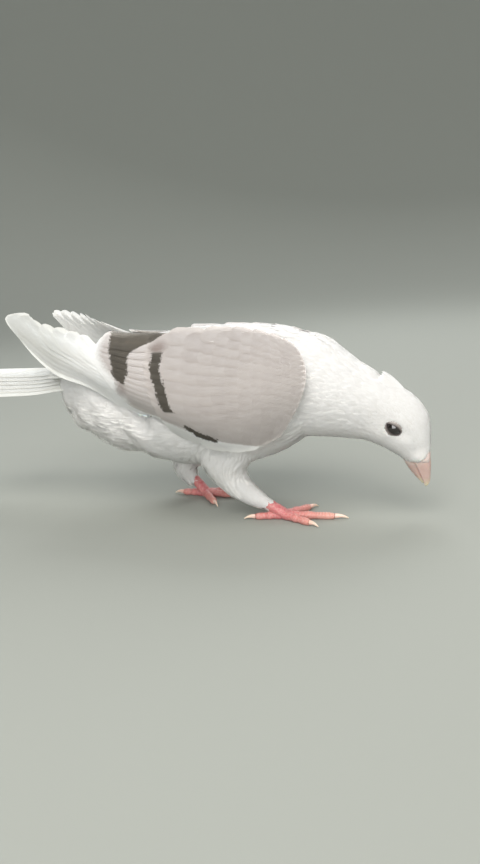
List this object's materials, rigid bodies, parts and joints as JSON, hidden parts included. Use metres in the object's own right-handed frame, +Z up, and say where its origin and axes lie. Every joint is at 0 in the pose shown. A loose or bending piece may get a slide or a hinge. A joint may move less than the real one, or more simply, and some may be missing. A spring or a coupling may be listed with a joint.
{
  "type": "shield-marked pigeon, life-size still model",
  "caption": "Small white pigeon with pale silver wing shields, a peaked nape and a short bill, standing with head lowered to the ground.",
  "frame": {"origin": "on the floor, under the middle of the whole bird", "axes": "+X towards the head, +Y towards the bird's left, +Z up"},
  "size_m": [0.3102, 0.109, 0.1292],
  "materials": {
    "plumage_white": "matte white feathers",
    "plumage_shield": "matte pale silver feathers with two grey-brown bars",
    "bill_horn": "satin pale flesh-coloured horn",
    "cere_skin": "powdery whitish bare skin",
    "foot_skin": "satin pink scaled skin",
    "claw_horn": "pale translucent horn",
    "eye": "wet near-black eye"
  },
  "bodies": {
    "root": {"torso": "plumage_white", "neck": "plumage_white", "head": "plumage_white", "bill_upper": "bill_horn", "bill_lower": "bill_horn", "cere": "cere_skin", "tail": "plumage_white", "eye_right": "eye", "wing_right": "plumage_shield", "leg_right": "plumage_white", "foot_right": "foot_skin", "claw_right_inner": "claw_horn", "claw_right_middle": "claw_horn", "claw_right_outer": "claw_horn", "claw_right_hind": "claw_horn", "eye_left": "eye", "wing_left": "plumage_shield", "leg_left": "plumage_white", "foot_left": "foot_skin", "claw_left_inner": "claw_horn", "claw_left_middle": "claw_horn", "claw_left_outer": "claw_horn", "claw_left_hind": "claw_horn"}
  },
  "joints": []
}
